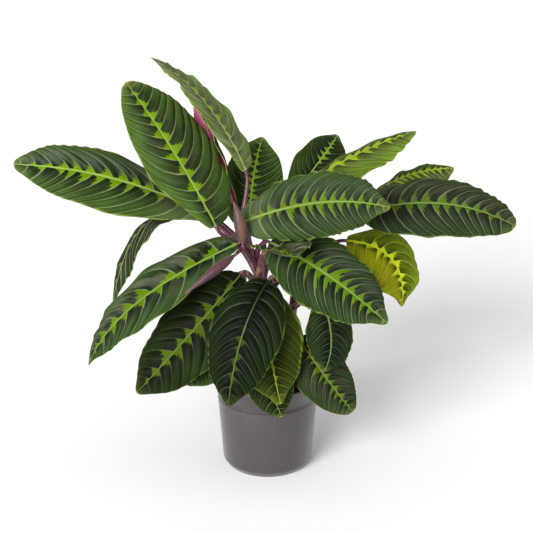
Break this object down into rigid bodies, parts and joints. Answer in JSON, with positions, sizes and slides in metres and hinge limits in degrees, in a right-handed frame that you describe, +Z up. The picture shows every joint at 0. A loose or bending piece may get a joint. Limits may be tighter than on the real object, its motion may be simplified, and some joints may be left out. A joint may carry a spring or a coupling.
{
  "type": "potted calathea plant",
  "caption": "Bushy house plant with long oval feather-patterned leaves on purple stalks, rooted in a round tapered grey nursery pot.",
  "frame": {"origin": "centre of the pot's foot, at the height it stands on", "axes": "+Z up along the pot's axis, -Y to the front of the plant, +X to its right as seen from the front"},
  "size_m": [0.6865, 0.3617, 0.5934],
  "materials": {
    "pot": "satin",
    "soil": "matte",
    "leaf": "satin",
    "stem": "satin",
    "young_leaf": "satin"
  },
  "bodies": {
    "root": {"pot": "pot", "soil": "soil", "shoot_left": "stem", "shoot_right": "stem", "shoot_front": "stem", "shoot_back": "stem", "leaf_01_far_left": "leaf", "leaf_02_upper_left": "leaf", "leaf_03_top_left": "leaf", "leaf_04_behind_left": "leaf", "leaf_05_upright": "leaf", "leaf_06_behind_centre": "leaf", "leaf_07_top_right": "leaf", "leaf_08_front_centre": "leaf", "leaf_09_back_right": "leaf", "leaf_10_right": "leaf", "leaf_11_lower_right": "leaf", "leaf_12_front_right": "leaf", "leaf_13_toward_front": "leaf", "leaf_14_low_right": "leaf", "leaf_15_low_right_tip": "leaf", "leaf_16_front_dark": "leaf", "leaf_17_front_bright": "leaf", "leaf_18_low_centre": "leaf", "leaf_19_low_left": "leaf", "leaf_20_behind_low_left": "leaf", "leaf_21_long_left": "leaf", "leaf_22_hanging_left": "leaf", "leaf_23_back_left": "leaf", "leaf_24_back_top": "leaf", "leaf_25_back_right": "leaf", "leaf_26_back_low_right": "leaf", "leaf_27_back_low_left": "leaf", "young_leaf_up": "young_leaf", "young_leaf_down": "young_leaf"}
  },
  "joints": []
}
